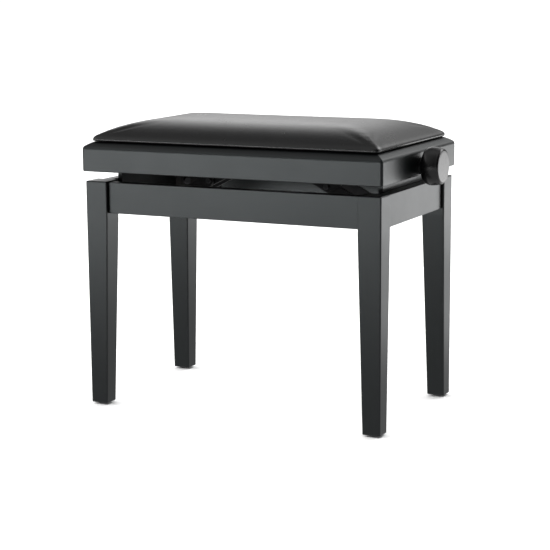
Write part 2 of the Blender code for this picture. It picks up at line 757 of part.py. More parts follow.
def top_rail(name, along_x, sign):
    """One mitred rail of the top frame. The long rails stop short of the mitre by the joint gap."""
    half_long, half_short = (SEAT_X, SEAT_Y) if along_x else (SEAT_Y, SEAT_X)
    trim = 1.5 * GAP if along_x else 0.0
    section = rail_section()
    shape = bmesh.new()
    strips = []
    for inset, height in section:
        strip = []
        for a, b in rail_path(inset, half_long, half_short):
            a = a - math.copysign(trim, a)
            x, y = (a, sign * b) if along_x else (sign * b, a)
            strip.append(shape.verts.new((x, y, height)))
        strips.append(strip)
    count = len(section)
    for i in range(count):
        first = strips[i]
        second = strips[(i + 1) % count]
        for j in range(len(first) - 1):
            shape.faces.new((first[j], first[j + 1], second[j + 1], second[j]))
    for end in (0, -1):
        shape.faces.new([strip[end] for strip in strips])
    bmesh.ops.remove_doubles(shape, verts=shape.verts, dist=0.00001)
    bmesh.ops.dissolve_degenerate(shape, edges=shape.edges, dist=0.00001)
    middle = (0, sign * (SEAT_Y - RAIL_THICK / 2), SEAT_BOTTOM) if along_x else (
        sign * (SEAT_X - RAIL_THICK / 2), 0, SEAT_BOTTOM)
    thing = finish_mesh(name, shape, LACQUER, middle, True, BENCH)
    mark_sharp(thing, 32.0)
    return thing


def boards():
    """The plywood seat board under the rails' lips and the pad board that carries the cushion."""
    side_gap = RAIL_THICK + GAP
    box(
        "seat_board",
        (-SEAT_X + side_gap, -SEAT_Y + side_gap, SEAT_BOARD_BOTTOM),
        (SEAT_X - side_gap, SEAT_Y - side_gap, SEAT_BOARD_TOP),
        PLYWOOD,
    )
    pad_gap = RAIL_LIP + MM
    pad_top = CUSHION_BOTTOM - GAP
    box(
        "pad_board",
        (-SEAT_X + pad_gap, -SEAT_Y + pad_gap, pad_top - PAD_BOARD_THICK - 2 * MM),
        (SEAT_X - pad_gap, SEAT_Y - pad_gap, pad_top),
        PLYWOOD,
    )


def end_board(side_name):
    """A board hung from the seat board inside an end apron. It guides the seat and closes the gap at that end."""
    side = SIDES[side_name]
    outer = APRON_IN_X - END_BOARD_PLAY
    half_length = APRON_IN_Y - BLOCK_LEG - 2.0 * MM
    low, high = ordered(
        (side * (outer - END_BOARD_THICK), -half_length, END_BOARD_BOTTOM),
        (side * outer, half_length, SEAT_BOARD_BOTTOM - GAP),
    )
    board = box("end_board_" + side_name, low, high, LACQUER)
    if side_name == "right":
        notch = SPINDLE_RADIUS + 2.0 * MM
        cut_box(
            board,
            (low[0] - MM, -notch, SPINDLE_Z - notch),
            (high[0] + MM, notch, SEAT_BOARD_BOTTOM + MM),
        )


def rounded_ring(shape, half_a, half_b, radius, height, steps=6):
    """Vertices round a rounded rectangle at one height."""
    ring = []
    for k, (sign_a, sign_b) in enumerate(((1, 1), (-1, 1), (-1, -1), (1, -1))):
        for i in range(steps + 1):
            turn = math.pi / 2 * (k + i / steps)
            a = sign_a * (half_a - radius) + radius * math.cos(turn)
            b = sign_b * (half_b - radius) + radius * math.sin(turn)
            ring.append(shape.verts.new((a, b, height)))
    return ring


def cushion():
    """The pad: a small upright edge, sloped sides and a gently crowned top."""
    half_a = SEAT_X - CUSHION_INSET
    half_b = SEAT_Y - CUSHION_INSET
    edge = 5.0 * MM
    rings_at = [(2.0 * MM, 0.0, 6.0 * MM), (0.0, 2.0 * MM, 7.0 * MM), (0.3 * MM, edge, 7.0 * MM)]
    slope_steps = 9
    slope_in = 118.0 * MM
    for i in range(1, slope_steps + 1):
        part = i / slope_steps
        inset = 0.3 * MM + slope_in * part
        height = edge + (CUSHION_CROWN - edge) * (1 - (1 - part) ** 2.6)
        rings_at.append((inset, height, 7.0 * MM + 10.0 * MM * part))
    shape = bmesh.new()
    rings = []
    for inset, height, radius in rings_at:
        rings.append(rounded_ring(shape, half_a - inset, half_b - inset, radius, CUSHION_BOTTOM + height))
    for low, high in zip(rings, rings[1:]):
        for i in range(len(low)):
            j = (i + 1) % len(low)
            shape.faces.new((low[i], low[j], high[j], high[i]))
    shape.faces.new(rings[0][::-1])
    shape.faces.new(rings[-1])
    thing = finish_mesh("cushion", shape, LEATHERETTE, (0, 0, CUSHION_BOTTOM), True, BENCH)
    mark_sharp(thing, 60.0)


# ---- build -------------------------------------------------------------------------------------------------


def build_stand():
    """Legs, aprons, glides and corner blocks."""
    aprons()
    for side_name in SIDES:
        for depth_name in DEPTHS:
            leg(side_name, depth_name)
            glide(side_name, depth_name)
            corner_block(side_name, depth_name)


def build_top():
    """Mitred rails, boards, end boards and cushion."""
    for name, depth in DEPTHS.items():
        top_rail("top_rail_" + name, True, depth)
    for name, side in SIDES.items():
        top_rail("top_rail_" + name, False, side)
        end_board(name)
    boards()
    cushion()


def build_lift():
    """Rails, arms, links, nuts, spindle and knob."""
    for side_name in SIDES:
        lift_rail(side_name)
        seat_rail(side_name)
        mid_pin(side_name)
        spindle_nut(side_name)
        spindle_bracket(side_name)
        for depth_name in DEPTHS:
            arm(side_name, depth_name)
            link(side_name, depth_name)
    spindle()
    spindle_bush()
    knob()


def centre_whole_length():
    """Move everything, cutters too, so that the knob counts in the middle of the length."""
    for thing in bpy.data.objects:
        thing.location.x -= KNOB_END / 2


build_stand()
build_top()
build_lift()
centre_whole_length()
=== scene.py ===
"""Looks of a height-adjustable piano bench.

Black satin lacquer on the wood, a crowned black leatherette pad, a smooth black hand knob and a blackened
steel lift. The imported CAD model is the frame: its wooden and steel nodes stay and get new materials. The pad
is swollen by a cloth simulation, then brought most of the way back to an even crown. The hand knob is turned
again as a finer mesh.
"""

import math

import bmesh
import bpy
from mathutils import Matrix, Vector


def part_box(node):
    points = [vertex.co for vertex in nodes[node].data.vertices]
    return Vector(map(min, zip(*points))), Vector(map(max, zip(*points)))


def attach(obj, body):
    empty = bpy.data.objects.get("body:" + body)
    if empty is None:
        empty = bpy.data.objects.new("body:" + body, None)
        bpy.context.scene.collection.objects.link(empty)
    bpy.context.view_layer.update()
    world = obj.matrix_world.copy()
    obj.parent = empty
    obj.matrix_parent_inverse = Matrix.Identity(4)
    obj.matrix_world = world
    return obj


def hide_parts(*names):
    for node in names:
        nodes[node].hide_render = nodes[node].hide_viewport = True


MM = 0.001

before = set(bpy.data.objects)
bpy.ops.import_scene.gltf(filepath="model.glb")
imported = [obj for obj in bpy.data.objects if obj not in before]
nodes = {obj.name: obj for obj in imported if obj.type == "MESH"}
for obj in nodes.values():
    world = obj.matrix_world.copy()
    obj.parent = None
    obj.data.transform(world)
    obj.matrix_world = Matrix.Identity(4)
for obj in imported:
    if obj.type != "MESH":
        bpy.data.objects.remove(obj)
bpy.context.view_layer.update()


# ---- camera ------------------------------------------------------------------------------------------------

CAMERA_PLACE = Vector((1.25403, -2.57774, 0.74485))
CAMERA_YAW = math.radians(-26.17)
CAMERA_PITCH = math.radians(-10.30)
CAMERA_ROLL = math.radians(-0.43)
CAMERA_LENS = 109.50
SENSOR_WIDTH = 36.0


def make_camera():
    """A long lens a little above the seat, in front of the bench and to its right."""
    data = bpy.data.cameras.new("camera")
    data.lens = CAMERA_LENS
    data.sensor_width = SENSOR_WIDTH
    data.clip_end = 100.0
    camera = bpy.data.objects.new("camera", data)
    bpy.context.scene.collection.objects.link(camera)
    level = math.cos(CAMERA_PITCH)
    ahead = Vector((math.sin(CAMERA_YAW) * level, math.cos(CAMERA_YAW) * level, math.sin(CAMERA_PITCH)))
    right = Vector((math.cos(CAMERA_YAW), -math.sin(CAMERA_YAW), 0.0))
    above = right.cross(ahead)
    turned_right = right * math.cos(CAMERA_ROLL) + above * math.sin(CAMERA_ROLL)
    turned_up = above * math.cos(CAMERA_ROLL) - right * math.sin(CAMERA_ROLL)
    axes = Matrix((turned_right, turned_up, -ahead)).transposed()
    camera.matrix_world = Matrix.Translation(CAMERA_PLACE) @ axes.to_4x4()
    bpy.context.scene.camera = camera


# ---- node trees --------------------------------------------------------------------------------------------


class Tree:
    """Short names for building a node tree."""

    def __init__(self, owner):
        owner.use_nodes = True
        self.tree = owner.node_tree
        self.tree.nodes.clear()

    def add(self, kind, settings=None, **inputs):
        """A node of that kind. Inputs are values, or sockets to link from; a name's _ stands for a space."""
        node = self.tree.nodes.new(kind)
        for key, value in (settings or {}).items():
            setattr(node, key, value)
        for key, value in inputs.items():
            self.put(node, key.replace("_", " "), value)
        return node

    def put(self, node, key, value):
        """Sets or links one input, by its name or its number."""
        socket = node.inputs[key]
        if isinstance(value, bpy.types.NodeSocket):
            self.tree.links.new(value, socket)
        else:
            socket.default_value = value

    def maths(self, operation, first, second=0.0, third=0.0):
        """The result of one Math node."""
        node = self.add("ShaderNodeMath", {"operation": operation})
        for number, value in enumerate((first, second, third)):
            self.put(node, number, value)
        return node.outputs[0]

    def dot(self, first, second):
        """The dot product of two vectors."""
        node = self.add("ShaderNodeVectorMath", {"operation": "DOT_PRODUCT"})
        self.put(node, 0, first)
        self.put(node, 1, second)
        return node.outputs["Value"]

    def stretched(self, scale):
        """The object's own coordinates in metres, times a scale for each axis."""
        where = self.add("ShaderNodeTexCoord").outputs["Object"]
        node = self.add("ShaderNodeMapping", None, Vector=where, Scale=scale)
        return node.outputs["Vector"]

    def noise(self, scale, detail=3.0, roughness=0.5, stretch=(1, 1, 1), distortion=0.0):
        """A noise value from 0 to 1 over the object's own coordinates."""
        node = self.add(
            "ShaderNodeTexNoise",
            None,
            Vector=self.stretched(stretch),
            Scale=scale,
            Detail=detail,
            Roughness=roughness,
            Distortion=distortion,
        )
        return node.outputs["Fac"]

    def span(self, value, low, high, start=0.0, end=1.0):
        """Value taken from the range start..end to low..high."""
        node = self.add("ShaderNodeMapRange", None, Value=value)
        for key, number in (("From Min", start), ("From Max", end), ("To Min", low), ("To Max", high)):
            self.put(node, key, number)
        return node.outputs["Result"]

    def blend(self, share, first, second):
        """A colour between two colours."""
        node = self.add("ShaderNodeMix", {"data_type": "RGBA"})
        self.put(node, 0, share)
        self.put(node, 6, first)
        self.put(node, 7, second)
        return node.outputs[2]

    def bump(self, height, depth, strength=1.0, below=None):
        """A bump of that height in metres, on top of another bump."""
        node = self.add("ShaderNodeBump", None, Height=height, Distance=depth, Strength=strength)
        if below is not None:
            self.put(node, "Normal", below)
        return node.outputs["Normal"]


def surface(started, colour, roughness, normal=None, metallic=0.0, **constants):
    """Ends a started material: its shader, with the constants on the shader's own sockets."""
    material, tree = started
    shader = tree.add("ShaderNodeBsdfPrincipled")
    tree.put(shader, "Base Color", colour)
    tree.put(shader, "Roughness", roughness)
    tree.put(shader, "Metallic", metallic)
    if normal is not None:
        tree.put(shader, "Normal", normal)
    for key, value in constants.items():
        tree.put(shader, key.replace("_", " "), value)
    out = tree.add("ShaderNodeOutputMaterial")
    tree.tree.links.new(shader.outputs["BSDF"], out.inputs["Surface"])
    return material


def start_material(name):
    """A new material and its empty node tree."""
    material = bpy.data.materials.new(name)
    return material, Tree(material)


def rgb(red, green, blue):
    """An opaque colour for a socket."""
    return (red, green, blue, 1.0)


# ---- materials ---------------------------------------------------------------------------------------------

GRAIN_ALONG = 5.0
GRAIN_ACROSS = 420.0
RING_ACROSS = 14.0
FIBRE_ACROSS = 600.0
LACQUER_TINT = rgb(0.92, 0.985, 1.0)


def satin_lacquer(axis):
    """Black satin lacquer over close-pored wood, with the grain along one axis."""
    started = start_material("satin_lacquer_" + axis)
    tree = started[1]
    stretch = [GRAIN_ALONG if letter == axis else GRAIN_ACROSS for letter in "xyz"]
    pores = tree.noise(1.0, detail=4.0, roughness=0.62, stretch=stretch)
    spray = tree.noise(900.0, detail=2.0, roughness=0.5)
    cloud = tree.noise(14.0, detail=3.0, roughness=0.55)
    rub = tree.noise(70.0, detail=5.0, roughness=0.6)
    deep = rgb(0.0060, 0.0068, 0.0072)
    thin = rgb(0.0085, 0.0095, 0.0100)
    pore = rgb(0.0045, 0.0050, 0.0052)
    colour = tree.blend(cloud, deep, thin)
    colour = tree.blend(tree.span(pores, 0.0, 0.35, start=0.42, end=0.75), colour, pore)
    roughness = tree.maths("ADD", tree.span(cloud, -0.02, 0.03), tree.span(rub, 0.29, 0.34))
    normal = tree.bump(pores, 0.04 * MM, strength=0.30)
    normal = tree.bump(spray, 0.02 * MM, strength=0.25, below=normal)
    return surface(started, colour, roughness, normal, Specular_Tint=LACQUER_TINT)


def leatherette():
    """Smooth black leatherette with a fine pebbled skin."""
    started = start_material("leatherette_pad")
    tree = started[1]
    cells = tree.add("ShaderNodeTexVoronoi", {"feature": "SMOOTH_F1"}, Vector=tree.stretched((1, 1, 1)))
    tree.put(cells, "Scale", 1150.0)
    tree.put(cells, "Smoothness", 0.6)
    pebble = cells.outputs["Distance"]
    soft = tree.noise(45.0, detail=4.0, roughness=0.55)
    cloud = tree.noise(9.0, detail=3.0, roughness=0.5)
    colour = tree.blend(cloud, rgb(0.0085, 0.0085, 0.0088), rgb(0.0125, 0.0125, 0.0128))
    roughness = tree.maths("ADD", tree.span(soft, 0.23, 0.29), tree.span(cloud, -0.015, 0.02))
    normal = tree.bump(soft, 0.4 * MM, strength=0.25)
    normal = tree.bump(pebble, 0.04 * MM, strength=0.35, below=normal)
    return surface(started, colour, roughness, normal)


def black_steel():
    """Blackened steel of the lift, a little scuffed."""
    started = start_material("black_steel_lift")
    tree = started[1]
    scuff = tree.noise(60.0, detail=6.0, roughness=0.65)
    fine = tree.noise(700.0, detail=3.0, roughness=0.6)
    worn = tree.span(scuff, 0.0, 1.0, start=0.35, end=0.75)
    colour = tree.blend(worn, rgb(0.012, 0.012, 0.013), rgb(0.026, 0.026, 0.028))
    roughness = tree.span(scuff, 0.36, 0.52)
    normal = tree.bump(fine, 0.03 * MM, strength=0.4)
    return surface(started, colour, roughness, normal, metallic=0.35)


def zinc_steel():
    """Oiled dark steel of the spindle, nuts, pins and screws."""
    started = start_material("oiled_steel")
    tree = started[1]
    stain = tree.noise(120.0, detail=5.0, roughness=0.6)
    turning = tree.noise(1.0, detail=2.0, roughness=0.5, stretch=(1600.0, 60.0, 60.0))
    colour = tree.blend(stain, rgb(0.045, 0.045, 0.048), rgb(0.095, 0.095, 0.10))
    roughness = tree.span(stain, 0.34, 0.50)
    normal = tree.bump(turning, 0.04 * MM, strength=0.4)
    return surface(started, colour, roughness, normal, metallic=0.8)


def knob_plastic():
    """Hard black plastic, polished, with faint handling marks."""
    started = start_material("knob_gloss")
    tree = started[1]
    marks = tree.noise(90.0, detail=6.0, roughness=0.7)
    wave = tree.noise(140.0, detail=2.0, roughness=0.4)
    colour = tree.blend(marks, rgb(0.0075, 0.0075, 0.0080), rgb(0.0110, 0.0110, 0.0115))
    roughness = tree.span(marks, 0.20, 0.30)
    return surface(started, colour, roughness, tree.bump(wave, 0.03 * MM, strength=0.25))


def glide_plastic():
    """Dull dark plastic of the glides."""
    started = start_material("glide_dull")
    tree = started[1]
    grit = tree.noise(400.0, detail=5.0, roughness=0.7)
    colour = tree.blend(grit, rgb(0.020, 0.020, 0.020), rgb(0.040, 0.040, 0.040))
    roughness = tree.span(grit, 0.5, 0.7)
    return surface(started, colour, roughness, tree.bump(grit, 0.06 * MM, strength=0.5))


def stained_wood(name, axis, light, dark, ring_scale):
    """Inner wood under a thin black stain, with rings, fibres and pores along one axis."""
    started = start_material(name)
    tree = started[1]
    stretch = [1.0 if letter == axis else RING_ACROSS for letter in "xyz"]
    rings = tree.noise(ring_scale, detail=4.0, roughness=0.6, stretch=stretch, distortion=0.6)
    fine = [GRAIN_ALONG if letter == axis else FIBRE_ACROSS for letter in "xyz"]
    fibres = tree.noise(1.0, detail=5.0, roughness=0.65, stretch=fine)
    colour = tree.blend(tree.span(rings, 0.0, 1.0, start=0.3, end=0.7), light, dark)
    shade = tree.blend(0.55, dark, rgb(0.004, 0.004, 0.004))
    colour = tree.blend(tree.span(fibres, 0.0, 0.6, start=0.5, end=0.8), colour, shade)
    roughness = tree.span(fibres, 0.55, 0.75)
    return surface(started, colour, roughness, tree.bump(fibres, 0.12 * MM, strength=0.5))


PLY_LIGHT = rgb(0.016, 0.014, 0.012)
PLY_DARK = rgb(0.009, 0.008, 0.007)
HARDWOOD_LIGHT = rgb(0.014, 0.012, 0.011)
HARDWOOD_DARK = rgb(0.008, 0.007, 0.006)

LACQUER = {axis: satin_lacquer(axis) for axis in "xyz"}
PLAIN = {
    "leatherette": leatherette(),
    "black_steel": black_steel(),
    "zinc_steel": zinc_steel(),
    "knob_plastic": knob_plastic(),
    "glide_plastic": glide_plastic(),
    "plywood": stained_wood("stained_plywood", "x", PLY_LIGHT, PLY_DARK, ring_scale=7.0),
    "bare_hardwood": stained_wood("stained_hardwood", "z", HARDWOOD_LIGHT, HARDWOOD_DARK, ring_scale=10.0),
}


def longest_axis(name):
    """The letter of the axis a node is longest on, which is the way its grain runs."""
    low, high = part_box(name)
    sides = high - low
    return "xyz"[max(range(3), key=lambda i: sides[i])]


def finish_cad_nodes():
    """Gives each CAD node the detailed material that belongs in its slot."""
    for name, thing in nodes.items():
        for place in thing.material_slots:
            slot = place.material.name.split(".")[0]
            place.material = LACQUER[longest_axis(name)] if slot == "satin_lacquer" else PLAIN[slot]


# ---- mesh helpers ------------------------------------------------------------------------------------------


def piece(name, shape, material, body, replaced):
    """A finished smooth mesh that rides on a body, stands for CAD nodes and takes its finish from a slot."""
    data = bpy.data.meshes.new(name)
    bmesh.ops.recalc_face_normals(shape, faces=shape.faces)
    shape.to_mesh(data)
    shape.free()
    thing = bpy.data.objects.new(name, data)
    bpy.context.scene.collection.objects.link(thing)
    data.materials.append(material)
    for polygon in data.polygons:
        polygon.use_smooth = True
    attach(thing, body)
    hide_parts(*replaced)
    return thing


def turned(profile, base, sides):
    """A closed turned shape round the +X axis through base, from (distance along, radius) points."""
    shape = bmesh.new()
    rings = []
    for along, radius in profile:
        if radius <= 0.0:
            rings.append([shape.verts.new(base + Vector((along, 0, 0)))])
            continue
        ring = []
        for i in range(sides):
            turn = 2 * math.pi * i / sides
            spot = Vector((along, radius * math.cos(turn), radius * math.sin(turn)))
            ring.append(shape.verts.new(base + spot))
        rings.append(ring)
    for first, second in zip(rings, rings[1:]):
        for i in range(sides):
            j = (i + 1) % sides
            if len(first) == 1:
                shape.faces.new((first[0], second[i], second[j]))
            elif len(second) == 1:
                shape.faces.new((first[i], second[0], first[j]))
            else:
                shape.faces.new((first[i], second[i], second[j], first[j]))
    return shape


def arc(centre_along, centre_radius, radius, start, end, steps):
    """Points of a turned profile on a circular arc, from one angle to another in degrees."""
    points = []
    for i in range(steps + 1):
        turn = math.radians(start + (end - start) * i / steps)
        points.append((centre_along + radius * math.cos(turn), centre_radius + radius * math.sin(turn)))
    return points


# ---- hand knob ---------------------------------------------------------------------------------------------


KNOB_SIDES = 96
KNOB_SHOULDER = 12.0 * MM
KNOB_ROUND_OVER = 8.0 * MM
KNOB_FACE_ROUND = 4.0 * MM
KNOB_TAPER = 2.5 * MM
KNOB_RECESS_DEEP = 1.2 * MM
KNOB_RECESS_RADIUS = 14.0 * MM
KNOB_COLLAR_RADIUS = 15.0 * MM
KNOB_STEPS = 14
CRISP_ANGLE = 50.0


def make_knob():
    """The round hand knob: a wide soft rim next to the frame and a flat outer face."""
    low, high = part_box("knob")
    base = Vector((low.x, (low.y + high.y) / 2, (low.z + high.z) / 2))
    thick = high.x - low.x
    widest = (high.z - low.z) / 2
    face = widest - KNOB_TAPER
    profile = [
        (KNOB_RECESS_DEEP, 0.0),
        (KNOB_RECESS_DEEP, KNOB_RECESS_RADIUS),
        (0.0, KNOB_COLLAR_RADIUS),
        (0.0, widest - KNOB_ROUND_OVER),
    ]
    for i in range(1, KNOB_STEPS + 1):
        turn = math.pi / 2 * i / KNOB_STEPS
        along = KNOB_SHOULDER * (1 - math.cos(turn))
        profile.append((along, widest - KNOB_ROUND_OVER * (1 - math.sin(turn))))
    straight = thick - KNOB_FACE_ROUND - KNOB_SHOULDER
    for i in range(1, KNOB_STEPS):
        part = i / KNOB_STEPS
        profile.append((KNOB_SHOULDER + straight * part, widest - KNOB_TAPER * part * part))
    profile += arc(thick - KNOB_FACE_ROUND, face - KNOB_FACE_ROUND, KNOB_FACE_ROUND, 90.0, 0.0, steps=10)
    profile += [(thick, face * 0.72), (thick, face * 0.4), (thick, 0.0)]
    shape = turned(profile, base, KNOB_SIDES)
    knob = piece("hand_knob", shape, PLAIN["knob_plastic"], "spindle_and_knob", ["knob"])
    mark_sharp_edges(knob, CRISP_ANGLE)


def mark_sharp_edges(thing, angle):
    """Keeps edges steeper than an angle crisp, in the mesh itself."""
    shape = bmesh.new()
    shape.from_mesh(thing.data)
    for edge in shape.edges:
        if len(edge.link_faces) == 2 and edge.calc_face_angle() > math.radians(angle):
            edge.smooth = False
    shape.to_mesh(thing.data)
    shape.free()


# ---- cushion -----------------------------------------------------------------------------------------------

EDGE = 5.0 * MM
SLOPE_IN = 118.0 * MM
SLOPE_POWER = 2.6
CORNER_RADIUS = 7.0 * MM
CORNER_OPENING = 10.0 * MM
LIP_IN = 0.3 * MM
CROWN_STEPS = 26
VOXEL = 4.5 * MM
SWELL_CAP = 9.0 * MM
LAST_FRAME = 20
STAPLE_FADE = 1.2
INSET_ROUNDS = 6
FOAM_STARTS_IN = 1.0 * MM
SLACK_CROWN = 0.88
FOAM_HOLD = 0.8
TUCK_IN = 1.4 * MM
OVERHANG = 2.2 * MM
HEM_HANG = 1.8 * MM
HEM_WIDTH = 5.0 * MM


def rounded_ring(shape, centre, half_a, half_b, radius, height, per_side, per_corner):
    """Vertices round a rounded rectangle at one height, evenly spread along its sides."""
    ring = []
    for k, (sign_a, sign_b) in enumerate(((1, 1), (-1, 1), (-1, -1), (1, -1))):
        for i in range(per_corner + 1):
            turn = math.pi / 2 * (k + i / per_corner)
            a = sign_a * (half_a - radius) + radius * math.cos(turn)
            b = sign_b * (half_b - radius) + radius * math.sin(turn)
            ring.append(Vector((centre.x + a, centre.y + b, height)))
    dense = []
    for i, point in enumerate(ring):
        following = ring[(i + 1) % len(ring)]
        count = per_side if (i + 1) % (per_corner + 1) == 0 else 1
        for j in range(count):
            dense.append(shape.verts.new(point.lerp(following, j / count)))
    return dense


def corner_radius(inset):
    """The pad's corner radius in plan, which opens out towards its crown."""
    return CORNER_RADIUS + CORNER_OPENING * min(1.0, inset / SLOPE_IN)


def crown_height(inset, crown):
    """How high the pad is above its base at a distance in from its edge."""
    part = min(1.0, max(0.0, (inset - LIP_IN) / SLOPE_IN))
    return EDGE + (crown - EDGE) * (1 - (1 - part) ** SLOPE_POWER)


def pad_shape(crown_share):
    """The pad as a closed mesh: flat base, small upright edge, sloped sides and a crowned top."""
    low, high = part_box("cushion")
    centre = (low + high) / 2
    half_a = (high.x - low.x) / 2
    half_b = (high.y - low.y) / 2
    crown = (high.z - low.z) * crown_share
    levels = [
        # in from the edge, height
        (3.0 * MM, -1.5 * MM),
        (1.2 * MM, -0.9 * MM),
        (0.2 * MM, 1.0 * MM),
        (0.0, 2.5 * MM),
        (LIP_IN, EDGE),
    ]
    for i in range(1, CROWN_STEPS + 1):
        inset = LIP_IN + SLOPE_IN * i / CROWN_STEPS
        levels.append((inset, crown_height(inset, crown)))
    shape = bmesh.new()
    rings = []
    for inset, height in levels:
        half = (half_a - inset, half_b - inset)
        radius = corner_radius(inset)
        rings.append(rounded_ring(shape, centre, *half, radius, low.z + height, per_side=24, per_corner=6))
    for first, second in zip(rings, rings[1:]):
        count = len(first)
        for i in range(count):
            j = (i + 1) % count
            shape.faces.new((first[i], first[j], second[j], second[i]))
    shape.faces.new(rings[0][::-1])
    shape.faces.new(rings[-1])
    bmesh.ops.recalc_face_normals(shape, faces=shape.faces)
    return shape


def applied(thing):
    """A copy of a piece's mesh with its modifiers applied, as the scene's present frame shows it."""
    whole = bpy.context.evaluated_depsgraph_get()
    whole.update()
    return bpy.data.meshes.new_from_object(thing.evaluated_get(whole))


def swap_mesh(thing, data):
    """Puts a new mesh in a piece and takes its modifiers away."""
    thing.modifiers.clear()
    old = thing.data
    thing.data = data
    bpy.data.meshes.remove(old)


def even_mesh(thing):
    """Remeshes the pad into small even faces."""
    remesh = thing.modifiers.new("even", "REMESH")
    remesh.mode = "VOXEL"
    remesh.voxel_size = VOXEL
    swap_mesh(thing, applied(thing))


def hold_stapled_edge(thing, height):
    """Keeps the base and the upright edge where the cover is stapled to the board."""
    held = thing.vertex_groups.new(name="stapled")
    for vertex in thing.data.vertices:
        away = (vertex.co.z - height) / EDGE
        weight = max(0.0, min(1.0, STAPLE_FADE - away))
        if weight > 0.0:
            held.add([vertex.index], weight, "REPLACE")
    return held.name


def blow_up(thing, height):
    """Swells the pad like foam under a stretched cover, and caps how far a point may move."""
    stapled = hold_stapled_edge(thing, height)
    cloth = thing.modifiers.new("cover", "CLOTH")
    cloth.settings.quality = 5
    cloth.settings.mass = 0.3
    cloth.settings.tension_stiffness = 40.0
    cloth.settings.compression_stiffness = 20.0
    cloth.settings.bending_stiffness = 3.0
    cloth.settings.use_pressure = True
    cloth.settings.uniform_pressure_force = 4.0
    cloth.settings.vertex_group_mass = stapled
    cloth.settings.effector_weights.gravity = 0.0
    cloth.point_cache.frame_start = 1
    cloth.point_cache.frame_end = LAST_FRAME
    before = [vertex.co.copy() for vertex in thing.data.vertices]
    scene = bpy.context.scene
    for number in range(1, LAST_FRAME + 1):
        scene.frame_set(number)
    swollen = applied(thing)
    for vertex, start in zip(swollen.vertices, before):
        move = vertex.co - start
        if move.length > SWELL_CAP:
            vertex.co = start + move.normalized() * SWELL_CAP
    swap_mesh(thing, swollen)
    thing.vertex_groups.clear()
    scene.frame_set(1)


def ease(thing, low_height, rounds):
    """Irons out the small steps that remeshing leaves above the upright edge."""
    shape = bmesh.new()
    shape.from_mesh(thing.data)
    free = [vertex for vertex in shape.verts if vertex.co.z > low_height]
    axes = {"use_axis_x": True, "use_axis_y": True, "use_axis_z": True}
    for _ in range(rounds):
        bmesh.ops.smooth_vert(shape, verts=free, factor=0.5, **axes)
    shape.to_mesh(thing.data)
    shape.free()


def fit_crown(thing, foot, top):
    """Scales the swollen crown so that it ends at the height of the CAD pad."""
    peak = max(vertex.co.z for vertex in thing.data.vertices)
    share = (top - foot) / (peak - foot)
    for vertex in thing.data.vertices:
        if vertex.co.z > foot:
            vertex.co.z = foot + (vertex.co.z - foot) * share


def inset_at(a, b, half_a, half_b):
    """How far in from the pad's rounded outline a point lies."""
    inset = 0.0
    for _ in range(INSET_ROUNDS):
        radius = corner_radius(inset)
        out_a = a - (half_a - inset - radius)
        out_b = b - (half_b - inset - radius)
        if out_a > 0.0 and out_b > 0.0:
            outside = math.hypot(out_a, out_b) - radius
        else:
            outside = max(out_a, out_b) - radius
        inset = max(0.0, inset - outside)
    return inset


def rest_on_foam(thing, low, high):
    """Lets the foam core pull the cover most of the way back to its own even crown."""
    centre = (low + high) / 2
    half = (high - low) / 2
    crown = high.z - low.z
    for vertex in thing.data.vertices:
        inset = inset_at(abs(vertex.co.x - centre.x), abs(vertex.co.y - centre.y), half.x, half.y)
        core = low.z + crown_height(inset, crown)
        if inset > FOAM_STARTS_IN and vertex.co.z > low.z + EDGE / 2:
            vertex.co.z += (core - vertex.co.z) * FOAM_HOLD


def fit_outline(thing, low, high):
    """Spreads the skirt to the cover's real outline and lets its hem hang over the frame's shoulder."""
    points = [vertex.co for vertex in thing.data.vertices]
    centre = (low + high) / 2
    half = (high - low) / 2 + Vector((OVERHANG, OVERHANG, 0.0))
    foot = min(point.z for point in points)
    for axis in (0, 1):
        widest = max(abs(point[axis] - centre[axis]) for point in points)
        for point in points:
            point[axis] = centre[axis] + (point[axis] - centre[axis]) * half[axis] / widest
    hem = low.z + EDGE
    for point in points:
        if point.z < hem:
            share = (hem - point.z) / (hem - foot)
            inset = inset_at(abs(point.x - centre.x), abs(point.y - centre.y), half.x, half.y)
            hang = HEM_HANG * max(0.0, 1.0 - inset / HEM_WIDTH)
            point.z = hem - share * (EDGE + TUCK_IN + hang)


def refine(thing):
    """One round of subdivision."""
    finer = thing.modifiers.new("finer", "SUBSURF")
    finer.levels = 1
    finer.render_levels = 1
    swap_mesh(thing, applied(thing))


def bell(value, width):
    """1 at nought, falling away smoothly over a width."""
    return math.exp(-((value / width) ** 2))


FOLD_REACH = 120.0 * MM
FOLD_RISE = 3.0 * MM
FOLD_WAVER = 3.0
FOLD_WAVER_LENGTH = 22.0
CORNER_FOLDS = [
    # direction in degrees from the corner's diagonal, then in mm its middle, reach, width and height
    (0.0, 16.0, 30.0, 3.0, -0.7),
    (6.0, 20.0, 46.0, 5.0, 0.6),
    (-7.0, 18.0, 40.0, 5.0, 0.5),
    (17.0, 26.0, 44.0, 4.5, -0.6),
    (23.0, 24.0, 40.0, 5.5, 0.5),
    (-18.0, 24.0, 42.0, 4.5, -0.5),
    (-25.0, 22.0, 36.0, 5.5, 0.4),
]


def fold_height(along, across):
    """How far the cover stands up near a corner, where it is gathered into small folds."""
    total = 0.0
    for angle, start, reach, width, height in CORNER_FOLDS:
        turn = math.radians(angle)
        run = (along * math.cos(turn) + across * math.sin(turn)) / MM
        side = (across * math.cos(turn) - along * math.sin(turn)) / MM
        bend = FOLD_WAVER * math.sin(run / FOLD_WAVER_LENGTH)
        if run > 0.0:
            total += height * MM * bell(side - bend, width) * bell(run - start, reach)
    return total


